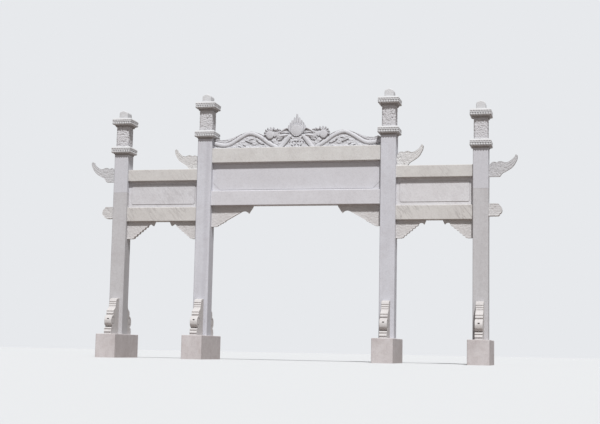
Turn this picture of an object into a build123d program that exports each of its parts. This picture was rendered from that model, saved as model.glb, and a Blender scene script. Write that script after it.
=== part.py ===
"""Stone memorial gateway: four square columns, three bays and a carved crest."""

import os
from math import cos, pi, sin

from build123d import *

os.makedirs("parts", exist_ok=True)

# Places of the columns, millimetres. X runs along the gate, the front faces -Y, Z is up
inner_column_x = 2798
outer_column_x = 5469

# Column bases
base_width = 612
base_depth = 1880
base_height = 700
base_edge = 12

# Column shafts, standing on the bases
inner_column_width = 446
outer_column_width = 440
inner_shaft_height = 5904
outer_shaft_height = 5463
column_edge = 15

# Moulded collars, from the foot up. Their overhang is measured from the shaft
collar_overhang = 91
collar_cove_height = 62
collar_bead_height = 78
collar_groove_height = 10
collar_band_height = 65
collar_bevel_height = 48
collar_bevel_run = 44
collar_recess = 14
collar_band_setback = 4
collar_height = (
    collar_cove_height
    + collar_bead_height
    + collar_groove_height
    + collar_band_height
    + collar_bevel_height
)

# Carved cloud blocks between the two collars of a column
cloud_block_height = 620
cloud_block_inset = 12
cloud_block_round = 60

# Round-topped finials on the upper collars
finial_width = 268
finial_depth = 360
finial_height = 250
finial_crown = 20
finial_shoulder = 95
finial_edge = 28

# Middle bay, from the clear space under the collars down
middle_beam_clearance = 284
middle_upper_beam_height = 441
middle_panel_height = 857
middle_lower_beam_height = 437
middle_beam_depth = 330

# Side bays, from the clear space under the collars down
side_beam_clearance = 457
side_upper_beam_height = 350
side_panel_height = 812
side_lower_beam_height = 422
side_beam_depth = 290
beam_edge = 12

# Panels between the beams, with a raised field on both faces
middle_panel_depth = 108
middle_panel_relief = 5
middle_panel_border = 45
middle_panel_corner = 200
side_panel_depth = 74
side_panel_relief = 10
side_panel_border = 110
side_panel_corner = 30

# Brackets under the lower beams: reach along the beam, drop down the column
middle_bracket_reach = 1298
middle_bracket_drop = 630
middle_bracket_foot = 143
middle_bracket_scallops = 4
middle_bracket_depth = 90
side_bracket_reach = 872
side_bracket_drop = 530
side_bracket_foot = 162
side_bracket_scallops = 6
side_bracket_depth = 140

# Upswept ears beside the columns
ear_depth = 120
ear_foot = 317
inner_ear_reach = 778
outer_ear_reach = 816
ear_height = 625

# Beam ends on the outer columns, their top a little above that of the lower side beams
beam_end_reach = 378
beam_end_height = 350
beam_end_depth = 240
beam_end_rise = 28

# Scroll stones in front of and behind every column
scroll_width = 220
scroll_reach = 598
scroll_height = 1080
scroll_roll_radius = 168
scroll_roll_z = 392
scroll_groove_width = 16
scroll_groove_depth = 8
scroll_hole_width = 66
scroll_hole_height = 34
scroll_hole_depth = 110
scroll_hole_z = 446

# Bands of a scroll stone: foot and top as shares of its height, front as a share of its reach
scroll_bands = (
    (0.060, 0.118, 1.00),
    (0.142, 0.196, 0.96),
    (0.556, 0.592, 0.75),
    (0.786, 0.819, 0.45),
    (0.838, 0.893, 0.43),
    (0.917, 0.962, 0.38),
)

# Crest on the middle upper beam: two dragons and a flaming pearl between them
crest_depth = 90
crest_wave_height = 517
crest_body_radius = 65
crest_head_height = 600
crest_head_depth = 140
crest_mane_depth = 122
crest_mane_radius = 168
crest_mane_spikes = 7
crest_mane_spike_arc = 130
crest_leg_depth = 116
crest_joint_x = 270
crest_collar_gap = 20

# Flaming pearl
pearl_width = 352
pearl_height = 446
pearl_z = 550
pearl_depth = 118
pearl_rim_width = 18
pearl_rim_depth = 140
flame_width = 482
flame_height = 580
flame_count = 9
flame_rise = 0.50
flame_low_rise = 0.12
flame_power = 8

# Heights and faces that several pieces share
inner_collar_z = base_height + inner_shaft_height
outer_collar_z = base_height + outer_shaft_height
middle_face = inner_column_x - inner_column_width / 2
middle_upper_top = inner_collar_z - middle_beam_clearance
middle_upper_z = middle_upper_top - middle_upper_beam_height
middle_lower_top = middle_upper_z - middle_panel_height
middle_lower_z = middle_lower_top - middle_lower_beam_height
side_inner_face = inner_column_x + inner_column_width / 2
side_outer_face = outer_column_x - outer_column_width / 2
side_upper_top = outer_collar_z - side_beam_clearance
side_upper_z = side_upper_top - side_upper_beam_height
side_lower_top = side_upper_z - side_panel_height
side_lower_z = side_lower_top - side_lower_beam_height
outer_face = outer_column_x + outer_column_width / 2

side_signs = {"left": -1, "right": 1}
column_places = {
    "outer_left": (-outer_column_x, outer_column_width, outer_collar_z),
    "inner_left": (-inner_column_x, inner_column_width, inner_collar_z),
    "inner_right": (inner_column_x, inner_column_width, inner_collar_z),
    "outer_right": (outer_column_x, outer_column_width, outer_collar_z),
}


def save(piece, name):
    """Label one piece and write its solid."""
    piece.part.label = name
    export_step(piece.part, f"parts/{name}.step")


def front_plane(x, z, sign=1):
    """Upright plane along the gate. Its X runs outward to the side that the sign gives."""
    return Plane(origin=(x, 0, z), x_dir=(sign, 0, 0), z_dir=(0, -sign, 0))


def make_base(centre_x):
    """A plain block, deeper than wide, with eased edges."""
    with BuildPart() as piece:
        with BuildSketch(Plane.XY):
            with Locations((centre_x, 0)):
                Rectangle(base_width, base_depth)
        extrude(amount=base_height)
        upright_edges = piece.edges().filter_by(Axis.Z)
        top_edges = piece.faces().sort_by(Axis.Z)[-1].edges()
        chamfer(upright_edges + top_edges, base_edge)
    return piece


def make_column(centre_x, width, top_z):
    """A square shaft with chamfered corners, standing on its base."""
    with BuildPart() as piece:
        with BuildSketch(Plane.XY.offset(base_height)):
            with Locations((centre_x, 0)):
                Rectangle(width, width)
        extrude(amount=top_z - base_height)
        chamfer(piece.edges().filter_by(Axis.Z), column_edge)
    return piece


def collar_outline(width):
    """Closed outline of one half of a collar: X out from the middle, Y up."""
    face = width / 2
    front_x = face + collar_overhang
    recess_x = front_x - collar_recess
    band_x = front_x - collar_band_setback
    bead_z = collar_cove_height
    groove_z = bead_z + collar_bead_height
    band_z = groove_z + collar_groove_height
    bevel_z = band_z + collar_band_height
    cove_middle = (face + 0.35 * (recess_x - face), 0.65 * bead_z)
    with BuildLine() as outline:
        Line((0, 0), (face, 0))
        ThreePointArc((face, 0), cove_middle, (recess_x, bead_z))
        ThreePointArc((recess_x, bead_z), (front_x, (bead_z + groove_z) / 2), (recess_x, groove_z))
        Line((recess_x, groove_z), (recess_x, band_z))
        Line((recess_x, band_z), (band_x, band_z))
        Line((band_x, band_z), (band_x, bevel_z))
        Line((band_x, bevel_z), (band_x - collar_bevel_run, collar_height))
        Line((band_x - collar_bevel_run, collar_height), (0, collar_height))
        Line((0, collar_height), (0, 0))
    return outline.line


def make_collar(centre_x, width, foot_z):
    """A square moulding: the same outline run along both directions and intersected."""
    reach = width / 2 + collar_overhang
    plane_along = Plane(origin=(centre_x, 0, foot_z), x_dir=(1, 0, 0), z_dir=(0, -1, 0))
    plane_across = Plane(origin=(centre_x, 0, foot_z), x_dir=(0, 1, 0), z_dir=(1, 0, 0))
    with BuildPart() as piece:
        with BuildSketch(plane_along):
            with BuildLine():
                add(collar_outline(width))
            make_face()
            mirror(about=Plane.YZ)
        extrude(amount=reach, both=True)
        with BuildSketch(plane_across):
            with BuildLine():
                add(collar_outline(width))
            make_face()
            mirror(about=Plane.YZ)
        extrude(amount=reach, both=True, mode=Mode.INTERSECT)
    return piece


def make_cloud_block(centre_x, width, foot_z):
    """The block between the collars, its upright corners rounded."""
    side = width - 2 * cloud_block_inset
    with BuildPart() as piece:
        with BuildSketch(Plane.XY.offset(foot_z)):
            with Locations((centre_x, 0)):
                RectangleRounded(side, side, cloud_block_round)
        extrude(amount=cloud_block_height)
    return piece


def make_finial(centre_x, foot_z):
    """A block with rounded shoulders, a slight crown and rounded ends."""
    half = finial_width / 2
    crown_z = finial_height - finial_crown
    with BuildPart() as finial:
        with BuildSketch(front_plane(centre_x, foot_z)):
            with BuildLine():
                Line((-half, 0), (half, 0))
                Line((half, 0), (half, crown_z))
                ThreePointArc((half, crown_z), (0, finial_height), (-half, crown_z))
                Line((-half, crown_z), (-half, 0))
            make_face()
            fillet(vertices().sort_by(Axis.Y)[-2:], finial_shoulder)
        extrude(amount=finial_depth / 2, both=True)
        end_edges = finial.faces().filter_by(Axis.Y).edges()
        foot_edges = end_edges.group_by(Axis.Z)[0]
        fillet(end_edges - foot_edges, finial_edge)
    return finial


def make_cap(centre_x, width, foot_z):
    """The upper collar and the round-topped finial standing on it."""
    collar = make_collar(centre_x, width, foot_z)
    finial = make_finial(centre_x, foot_z + collar_height)
    with BuildPart() as piece:
        add(collar.part)
        add(finial.part)
    return piece


def make_beam(start_x, end_x, foot_z, height, depth):
    """A beam between two columns, its long edges eased."""
    with BuildPart() as piece:
        with BuildSketch(Plane.XY.offset(foot_z)):
            with Locations(((start_x + end_x) / 2, 0)):
                Rectangle(end_x - start_x, depth)
        extrude(amount=height)
        chamfer(piece.edges().filter_by(Axis.X), beam_edge)
    return piece


def make_panel(start_x, end_x, foot_z, height, depth, relief, border, corner):
    """A thin panel with a raised field on both faces, its corners cut off."""
    length = end_x - start_x
    plane = front_plane((start_x + end_x) / 2, foot_z + height / 2)
    with BuildPart() as piece:
        with BuildSketch(plane):
            Rectangle(length, height)
        extrude(amount=depth / 2, both=True)
        with BuildSketch(plane):
            Rectangle(length - 2 * border, height - 2 * border)
            chamfer(vertices(), corner)
        extrude(amount=depth / 2 + relief, both=True)
    return piece


def bracket_outline(reach, drop, foot, scallops, slope_end, scallop_end, cusp):
    """Bracket outline: X runs away from the column, Y up to the beam.

    The slope climbs from the foot to slope_end, scalloped as far as scallop_end, a share
    of the slope. The cusp hangs under the tip. Both points are shares of reach and drop.
    """
    end_x, end_y = slope_end[0] * reach, -slope_end[1] * drop
    cusp_x, cusp_y = cusp[0] * reach, -cusp[1] * drop
    first_y = -0.985 * drop
    run = (end_x - foot) * scallop_end / scallops
    rise = (end_y - first_y) * scallop_end / scallops
    shelf_middle = (0.45 * end_x + 0.55 * cusp_x, 0.94 * end_y)
    tip_middle = (0.38 * cusp_x + 0.62 * reach, 0.42 * cusp_y)
    with BuildLine() as outline:
        Line((0, 0), (0, -drop))
        Line((0, -drop), (foot, -drop))
        Line((foot, -drop), (foot, first_y))
        for step in range(scallops):
            low = (foot + step * run, first_y + step * rise)
            middle = (low[0] + 0.76 * run, low[1] + 0.22 * rise)
            high = (low[0] + run, low[1] + rise)
            ThreePointArc(low, middle, high)
        Line(high, (end_x, end_y))
        ThreePointArc((end_x, end_y), shelf_middle, (cusp_x, cusp_y))
        ThreePointArc((cusp_x, cusp_y), tip_middle, (reach, 0))
        Line((reach, 0), (0, 0))
    return outline.line


def make_pair(left_x, right_x, foot_z, outline, depth, outward):
    """Two mirrored flat pieces cut from one outline: outward is 1, toward each other is -1."""
    with BuildPart() as piece:
        for x, sign in ((left_x, -outward), (right_x, outward)):
            with BuildSketch(front_plane(x, foot_z, sign)):
                with BuildLine():
                    add(outline)
                make_face()
            extrude(amount=depth / 2, both=True)
    return piece


def ear_outline(reach):
    """Ear outline: X runs away from the column, Y up. Its points are shares of both sizes."""
    height = ear_height
    corner = (ear_foot, 0)
    hollow = (ear_foot + 0.06 * reach, 0.12 * height)
    kink = (ear_foot + 0.115 * reach, 0.19 * height)
    under = [
        kink,
        (0.59 * reach, 0.24 * height),
        (0.82 * reach, 0.44 * height),
        (0.965 * reach, 0.73 * height),
        (0.995 * reach, 0.90 * height),
    ]
    knob = (0.905 * reach, 0.96 * height)
    notch = (0.90 * reach, 0.905 * height)
    over = [
        notch,
        (0.82 * reach, 0.80 * height),
        (0.69 * reach, 0.68 * height),
        (0.56 * reach, 0.63 * height),
    ]
    valley = (0.275 * reach, 0.64 * height)
    shoulder = (0.08 * reach, 0.63 * height)
    with BuildLine() as outline:
        Line((0, 0), corner)
        ThreePointArc(corner, hollow, kink)
        Spline(under)
        ThreePointArc(under[-1], (0.955 * reach, height), knob)
        Line(knob, notch)
        Spline(over)
        ThreePointArc(over[-1], (0.40 * reach, 0.705 * height), valley)
        ThreePointArc(valley, (0.17 * reach, 0.68 * height), shoulder)
        Line(shoulder, (0, 0.49 * height))
        Line((0, 0.49 * height), (0, 0))
    return outline.line


def beam_end_outline():
    """Beam end outline: X runs away from the column, Y up from minus its height to 0.

    Its points are shares of reach and height.
    """
    reach, height = beam_end_reach, beam_end_height
    neck_top = (0.82 * reach, -0.18 * height)
    nose_top = (0.98 * reach, -0.35 * height)
    nose_foot = (0.98 * reach, -0.65 * height)
    neck_foot = (0.82 * reach, -0.82 * height)
    with BuildLine() as outline:
        Line((0, 0), (0.70 * reach, 0))
        ThreePointArc((0.70 * reach, 0), (0.79 * reach, -0.07 * height), neck_top)
        ThreePointArc(neck_top, (0.92 * reach, -0.24 * height), nose_top)
        ThreePointArc(nose_top, (reach, -0.50 * height), nose_foot)
        ThreePointArc(nose_foot, (0.92 * reach, -0.76 * height), neck_foot)
        ThreePointArc(neck_foot, (0.79 * reach, -0.93 * height), (0.70 * reach, -height))
        Line((0.70 * reach, -height), (0, -height))
        Line((0, -height), (0, 0))
    return outline.line


def scroll_core_outline():
    """Side outline behind the bands and the roll: X out from the column, Y up.

    Its points are shares of reach and height.
    """
    reach, height = scroll_reach, scroll_height
    foot_edge = (0.97 * reach, 0.060 * height)
    ledge = (0.67 * reach, 0.592 * height)
    flare_front = (0.73 * reach, 0.645 * height)
    flare_top = (0.46 * reach, 0.770 * height)
    top_front = (0.34 * reach, 0.962 * height)
    with BuildLine() as outline:
        Polyline(
            (0, 0),
            (0.97 * reach, 0),
            foot_edge,
            (0.90 * reach, 0.070 * height),
            (0.90 * reach, 0.170 * height),
            (0.67 * reach, 0.225 * height),
            (0.62 * reach, 0.560 * height),
            ledge,
        )
        ThreePointArc(ledge, (0.71 * reach, 0.612 * height), flare_front)
        ThreePointArc(flare_front, (0.57 * reach, 0.695 * height), flare_top)
        Polyline(flare_top, (0.38 * reach, 0.778 * height), (0.36 * reach, 0.897 * height))
        Polyline((0.36 * reach, 0.897 * height), (0.28 * reach, 0.903 * height), top_front)
        ThreePointArc(top_front, (0.17 * reach, 0.990 * height), (0, height))
        Line((0, height), (0, 0))
    return outline.line


def make_scroll_stones(centre_x, column_width):
    """The front and the back scroll stone of one column."""
    face_y = column_width / 2
    roll_y = scroll_reach * 0.975 - scroll_roll_radius
    with BuildPart() as piece:
        for sign in (-1, 1):
            side_plane = Plane(
                origin=(centre_x, sign * face_y, base_height), x_dir=(0, sign, 0), z_dir=(sign, 0, 0)
            )
            with BuildSketch(side_plane):
                with BuildLine():
                    add(scroll_core_outline())
                make_face()
                for foot, top, front in scroll_bands:
                    band_height = (top - foot) * scroll_height
                    band_middle = (foot + top) / 2 * scroll_height
                    with Locations((front * scroll_reach / 2, band_middle)):
                        Rectangle(front * scroll_reach, band_height)
                with Locations((roll_y, scroll_roll_z)):
                    Circle(scroll_roll_radius)
            extrude(amount=scroll_width / 2, both=True)
            for end in (-1, 1):
                volute_plane = side_plane.offset(end * scroll_width / 2)
                with BuildSketch(volute_plane):
                    with Locations((roll_y, scroll_roll_z)):
                        Circle(0.66 * scroll_roll_radius)
                        Circle(0.66 * scroll_roll_radius - scroll_groove_width, mode=Mode.SUBTRACT)
                extrude(amount=-end * scroll_groove_depth, mode=Mode.SUBTRACT)
            hole_plane = Plane(
                origin=(centre_x, sign * (face_y + scroll_reach), base_height + scroll_hole_z),
                x_dir=(1, 0, 0),
                z_dir=(0, -sign, 0),
            )
            with BuildSketch(hole_plane):
                Ellipse(scroll_hole_width / 2, scroll_hole_height / 2)
            extrude(amount=scroll_hole_depth, mode=Mode.SUBTRACT)
    return piece


def crest_top_line():
    """Upper edge of a dragon's slab, from the column to the pearl's joint.

    Its points are shares of the length to the column, and of the wave or head height.
    """
    end, wave, head = middle_face, crest_wave_height, crest_head_height
    end_point = (end, middle_beam_clearance - crest_collar_gap)
    wave_points = [
        (end - collar_overhang - crest_collar_gap, 0.60 * wave),
        (0.90 * end, 0.52 * wave),
        (0.81 * end, 0.58 * wave),
        (0.69 * end, 0.80 * wave),
        (0.565 * end, wave),
        (0.46 * end, 0.885 * wave),
        (0.39 * end, 0.73 * wave),
    ]
    head_points = [
        wave_points[-1],
        (0.35 * end, 0.93 * head),
        (0.24 * end, 0.97 * head),
        (0.185 * end, 0.89 * head),
        (0.15 * end, head),
        (crest_joint_x, 0.98 * head),
    ]
    with BuildLine() as top:
        Line(end_point, wave_points[0])
        Spline(wave_points)
        Polyline(*head_points)
    return top.line


def make_crest_dragon(sign):
    """One dragon: a slab with the body wave, the mane, the head and a leg on both faces.

    Mane, head and leg are drawn in modules, a sixtieth of the height of the head.
    """
    plane = front_plane(0, middle_upper_top, sign)
    end = middle_face
    module = crest_head_height / 60
    body_top = crest_wave_height - crest_body_radius
    body_points = [
        (1.03 * end, 0.45 * body_top),
        (0.92 * end, 0.27 * body_top),
        (0.84 * end, 0.25 * body_top),
        (0.77 * end, 0.39 * body_top),
        (0.665 * end, 0.76 * body_top),
        (0.56 * end, body_top),
        (0.44 * end, 0.77 * body_top),
        (0.34 * end, 0.36 * body_top),
        (0.24 * end, 0.05 * body_top),
    ]
    mane_centre = (80 * module, 42 * module)
    with BuildPart() as piece:
        with BuildSketch(plane):
            with BuildLine():
                add(crest_top_line())
                Line((crest_joint_x, 0.98 * crest_head_height), (crest_joint_x, 0))
                Line((crest_joint_x, 0), (end, 0))
                Line((end, 0), (end, middle_beam_clearance - crest_collar_gap))
            make_face()
        extrude(amount=crest_depth / 2, both=True)
        # Body, a round tube that follows the wave
        with BuildLine(plane) as body:
            Spline(body_points)
        with BuildSketch(Plane(origin=body.line @ 0, z_dir=body.line % 0)):
            Circle(crest_body_radius)
        sweep(path=body.line)
        # Mane, a disc with spikes along its back
        with BuildSketch(plane):
            with Locations(mane_centre):
                Circle(crest_mane_radius)
                spike_foot = 0.90 * crest_mane_radius
                with PolarLocations(spike_foot, crest_mane_spikes, 0, crest_mane_spike_arc):
                    Polygon((0, -4 * module), (6.5 * module, 2 * module), (0, 4 * module), align=None)
        extrude(amount=crest_mane_depth / 2, both=True)
        # Head with the horn over it and the snout that points to the pearl
        with BuildSketch(plane):
            with Locations((59 * module, 45 * module)):
                Ellipse(13 * module, 10 * module)
            with BuildLine():
                Spline(
                    [(52 * module, 51 * module), (38 * module, 48 * module), (27 * module, 46 * module)]
                )
                Spline(
                    [(27 * module, 46 * module), (31 * module, 39 * module), (50 * module, 37 * module)]
                )
                Line((50 * module, 37 * module), (52 * module, 51 * module))
            make_face()
            with BuildLine():
                Polyline(
                    (35 * module, 59 * module),
                    (39 * module, 60 * module),
                    (56 * module, 51 * module),
                    (52 * module, 46 * module),
                    close=True,
                )
            make_face()
        extrude(amount=crest_head_depth / 2, both=True)
        # Leg, from the beam up to the pearl
        with BuildSketch(plane):
            with BuildLine():
                Polyline(
                    (41 * module, 0),
                    (crest_joint_x, 28 * module),
                    (crest_joint_x, 35 * module),
                    (33 * module, 36 * module),
                    (60 * module, 0),
                    close=True,
                )
            make_face()
        extrude(amount=crest_leg_depth / 2, both=True)
        # Everything ends at the joint, the column and the beam
        with BuildSketch(plane):
            with Locations(((crest_joint_x + end) / 2, crest_head_height)):
                Rectangle(end - crest_joint_x, 2 * crest_head_height)
        extrude(amount=crest_head_depth, both=True, mode=Mode.INTERSECT)
    return piece


def flame_points():
    """Jagged edge of the flames: valleys on an ellipse, tips that grow toward the top."""
    points = []
    for step in range(2 * flame_count + 1):
        angle = pi * step / (2 * flame_count)
        growth = flame_low_rise + flame_rise * sin(angle) ** flame_power
        stretch = 1 + growth * (step % 2)
        points.append(
            (
                flame_width / 2 * stretch * cos(angle),
                pearl_z + flame_height / 2 * stretch * sin(angle),
            )
        )
    return points


def make_crest_pearl():
    """The pearl with its rim in front of the flames, on both faces of the slab."""
    plane = front_plane(0, middle_upper_top)
    with BuildPart() as piece:
        with BuildSketch(plane):
            with BuildLine():
                Polyline(
                    (-crest_joint_x, 0),
                    (crest_joint_x, 0),
                    (crest_joint_x, pearl_z),
                    *flame_points(),
                    (-crest_joint_x, pearl_z),
                    close=True,
                )
            make_face()
        extrude(amount=crest_depth / 2, both=True)
        with BuildSketch(plane):
            with Locations((0, pearl_z)):
                Ellipse(pearl_width / 2, pearl_height / 2)
        extrude(amount=pearl_depth / 2, both=True)
        with BuildSketch(plane):
            with Locations((0, pearl_z)):
                Ellipse(pearl_width / 2, pearl_height / 2)
                Ellipse(
                    pearl_width / 2 - pearl_rim_width,
                    pearl_height / 2 - pearl_rim_width,
                    mode=Mode.SUBTRACT,
                )
        extrude(amount=pearl_rim_depth / 2, both=True)
    return piece


# Columns with everything that stands on them
for place, (centre_x, width, collar_z) in column_places.items():
    block_z = collar_z + collar_height
    cap_z = block_z + cloud_block_height
    save(make_base(centre_x), f"base_{place}")
    save(make_column(centre_x, width, collar_z), f"column_{place}")
    save(make_scroll_stones(centre_x, width), f"scroll_stones_{place}")
    save(make_collar(centre_x, width, collar_z), f"collar_{place}")
    save(make_cloud_block(centre_x, width, block_z), f"cloud_block_{place}")
    save(make_cap(centre_x, width, cap_z), f"cap_{place}")

# Middle bay
save(
    make_beam(-middle_face, middle_face, middle_upper_z, middle_upper_beam_height, middle_beam_depth),
    "beam_middle_upper",
)
save(
    make_beam(-middle_face, middle_face, middle_lower_z, middle_lower_beam_height, middle_beam_depth),
    "beam_middle_lower",
)
save(
    make_panel(
        -middle_face,
        middle_face,
        middle_lower_top,
        middle_panel_height,
        middle_panel_depth,
        middle_panel_relief,
        middle_panel_border,
        middle_panel_corner,
    ),
    "panel_middle",
)
middle_bracket = bracket_outline(
    middle_bracket_reach,
    middle_bracket_drop,
    middle_bracket_foot,
    middle_bracket_scallops,
    slope_end=(0.72, 0.29),
    scallop_end=0.38,
    cusp=(0.885, 0.38),
)
save(
    make_pair(-middle_face, middle_face, middle_lower_z, middle_bracket, middle_bracket_depth, -1),
    "brackets_middle",
)

# Side bays
side_bracket = bracket_outline(
    side_bracket_reach,
    side_bracket_drop,
    side_bracket_foot,
    side_bracket_scallops,
    slope_end=(0.79, 0.17),
    scallop_end=0.94,
    cusp=(0.935, 0.25),
)
for side, sign in side_signs.items():
    low_x, high_x = sorted((sign * side_inner_face, sign * side_outer_face))
    save(
        make_beam(low_x, high_x, side_upper_z, side_upper_beam_height, side_beam_depth),
        f"beam_{side}_upper",
    )
    save(
        make_beam(low_x, high_x, side_lower_z, side_lower_beam_height, side_beam_depth),
        f"beam_{side}_lower",
    )
    save(
        make_panel(
            low_x,
            high_x,
            side_lower_top,
            side_panel_height,
            side_panel_depth,
            side_panel_relief,
            side_panel_border,
            side_panel_corner,
        ),
        f"panel_{side}",
    )
    save(
        make_pair(low_x, high_x, side_lower_z, side_bracket, side_bracket_depth, -1),
        f"brackets_{side}",
    )

# Ears, beam ends and crest
outer_ear = ear_outline(outer_ear_reach)
inner_ear = ear_outline(inner_ear_reach)
beam_end = beam_end_outline()
save(make_pair(-outer_face, outer_face, side_upper_z, outer_ear, ear_depth, 1), "ears_outer")
save(make_pair(-side_inner_face, side_inner_face, side_upper_top, inner_ear, ear_depth, 1), "ears_inner")
beam_end_top = side_lower_top + beam_end_rise
save(make_pair(-outer_face, outer_face, beam_end_top, beam_end, beam_end_depth, 1), "beam_ends")
save(make_crest_dragon(-1), "crest_left")
save(make_crest_dragon(1), "crest_right")
save(make_crest_pearl(), "crest_pearl")
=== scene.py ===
"""Looks of the stone memorial gateway: materials, fine carving, light and camera."""

import math

import bpy
import numpy as np
from mathutils import Matrix, Vector


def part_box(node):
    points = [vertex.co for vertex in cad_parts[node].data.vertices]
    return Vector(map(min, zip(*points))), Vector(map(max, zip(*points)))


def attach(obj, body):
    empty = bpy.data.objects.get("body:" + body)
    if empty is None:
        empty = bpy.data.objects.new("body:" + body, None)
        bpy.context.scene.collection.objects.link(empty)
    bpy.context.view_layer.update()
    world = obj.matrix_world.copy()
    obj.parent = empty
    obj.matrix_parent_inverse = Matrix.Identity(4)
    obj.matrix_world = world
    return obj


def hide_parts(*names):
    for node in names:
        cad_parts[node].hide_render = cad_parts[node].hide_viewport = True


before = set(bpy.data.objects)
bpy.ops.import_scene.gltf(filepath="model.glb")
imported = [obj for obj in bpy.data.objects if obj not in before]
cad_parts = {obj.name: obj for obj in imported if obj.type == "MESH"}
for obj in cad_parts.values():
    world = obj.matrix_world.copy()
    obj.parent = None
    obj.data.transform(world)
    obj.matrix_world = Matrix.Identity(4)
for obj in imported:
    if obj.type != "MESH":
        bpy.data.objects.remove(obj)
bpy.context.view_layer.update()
scene = bpy.context.scene
PLACES = ("outer_left", "inner_left", "inner_right", "outer_right")

# Camera, from a fit to the photograph: metres, radians, pixels of a 600 wide picture
CAMERA_PLACE = Vector((8.2158, -33.6275, 0.30))
CAMERA_YAW = 0.22787
CAMERA_PITCH = 0.11771
CAMERA_ROLL = 0.01908
FOCAL_PIXELS = 1175.83
PICTURE_WIDTH = 600
SENSOR_WIDTH = 36.0
CENTRE_COLUMN = 309
FAR_LIMIT = 500

# Light: one soft key from the front right, an even surrounding, a pale floor
KEY_STRENGTH = 4.65
KEY_SOFTNESS = math.radians(4)
KEY_DIRECTION = Vector((-0.179, 0.467, -0.866))
SKY_COLOUR = (0.95, 0.97, 1.0, 1)
SKY_STRENGTH = 0.355
BACKGROUND_COLOUR = (0.80, 0.815, 0.84, 1)
FLOOR_SIZE = 300
FLOOR_COLOUR = (0.50, 0.505, 0.51, 1)
FLOOR_BOUNCE = (0.200, 0.160, 0.134, 1)
FLOOR_ROUGHNESS = 0.9

# Carving: edges sharper than this stay sharp
SHARP_ANGLE = math.radians(48)

# Scrolls: the roll's share of the height, how round the edge falls off, and for scattered
# ones their pitch, their shift and their sizes as multiples of their radius
ROLL_SHARE = 0.45
ROLL_POWER = 0.35
CURL_PITCH = 1.30
CURL_SHIFT = 0.45
CURL_SIZES = (0.75, 1.25)

# Mouldings of a collar, as in the CAD
COLLAR_OVERHANG = 0.091
COLLAR_RECESS = 0.024
COLLAR_BAND_SETBACK = 0.004
COLLAR_BEVEL_RUN = 0.044
COVE_TOP = 0.062
BEAD_TOP = 0.140
BAND_FOOT = 0.150
BAND_TOP = 0.215
COLLAR_TOP = 0.263
BEADS_PER_SIDE = 8
STEPS_PER_BEAD = 10
BEAD_SHARE = 0.46
BEAD_POWER = 0.7
CELL_SHARE = 0.37
CELL_EDGE = 0.06
CELL_FOOT = 0.146
CELL_TOP = 0.196
CELL_DEPTH = 0.009
CELL_SLOPE = 0.007

# Darkening in the hollows of a collar, dirt and painted shade in the cells and between the beads and
# painted shade in the cove: amounts, and how high it reaches in the cove
CELL_DIRT_AND_SHADE = 0.08
BEAD_DIRT_AND_SHADE = 0.42
COVE_SHADE = 0.9
COVE_SHADE_TOP = 0.9 * COVE_TOP

# Finial on a cap
FINIAL_WIDTH = 0.268
FINIAL_LENGTH = 0.360
FINIAL_HEIGHT = 0.250
FINIAL_CROWN = 0.020
FINIAL_SHOULDER = 0.082
FINIAL_EDGE = 0.018

# Scroll stones, as in the CAD, with the bands sloped and their grooves shallow
SCROLL_WIDTH = 0.220
SCROLL_ROLL_RADIUS = 0.168
SCROLL_ROLL_HEIGHT = 0.392
SCROLL_ROLL_PLACE = 0.975
SCROLL_ROLL_POWERS = (2.7, 2.0)
SCROLL_CORNER = 0.010
HOLE_HEIGHT = 0.446
HOLE_RADII = (0.033, 0.017)
HOLE_DEPTH = 0.060
RING_RADIUS = 0.103
RING_HALF_WIDTH = 0.014
RING_DEPTH = 0.008
# Painted shade in the hole, and how much of it the ring beside the roll gets
RING_SHADE = 0.6

# Grid of a scroll stone: coarser up to a share of its reach, and finer near the hole
SCROLL_ROWS = 90
SCROLL_ROOT = 0.4
ROOT_COLUMNS = 6
SIDE_COLUMNS = 24
FRONT_COLUMNS = 16
HOLE_ROWS = 8
HOLE_MARGIN = 1.2

# Side outline of a scroll stone: shares of its height and of its reach
SCROLL_FRONT = (
    (0.000, 0.965), (0.055, 0.965), (0.058, 0.985), (0.063, 1.000), (0.112, 0.965), (0.117, 0.950),
    (0.120, 0.938), (0.139, 0.936), (0.142, 0.958), (0.147, 0.965), (0.170, 0.945), (0.180, 0.890),
    (0.200, 0.800), (0.215, 0.720), (0.519, 0.722), (0.553, 0.722), (0.556, 0.740), (0.562, 0.752),
    (0.594, 0.732), (0.600, 0.722), (0.603, 0.717), (0.618, 0.717), (0.623, 0.723), (0.640, 0.730),
    (0.646, 0.722), (0.660, 0.675), (0.678, 0.620), (0.695, 0.573), (0.715, 0.522), (0.737, 0.478),
    (0.765, 0.470), (0.786, 0.452), (0.789, 0.464), (0.794, 0.467), (0.815, 0.450), (0.820, 0.440),
    (0.823, 0.435), (0.837, 0.434), (0.840, 0.446), (0.845, 0.449), (0.868, 0.427), (0.874, 0.416),
    (0.877, 0.402), (0.891, 0.400), (0.894, 0.416), (0.900, 0.418), (0.960, 0.375), (0.976, 0.300),
    (0.988, 0.190), (0.996, 0.090), (1.000, 0.020),
)

# Cloud blocks. Curls: radius, turns and share of the relief. Dirt and painted shade in the hollows: most
# and fall, as for every carved face
BLOCK_ROUND = 0.060
BLOCK_CELL = 0.008
BLOCK_CARVING = 0.028
BLOCK_CURLS = ((0.080, 1.2, 0.45), (0.034, 0.8, 0.55))
BLOCK_DIRT_AND_SHADE = (1.1, 2.0)
BLOCK_SEED = 20


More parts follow.
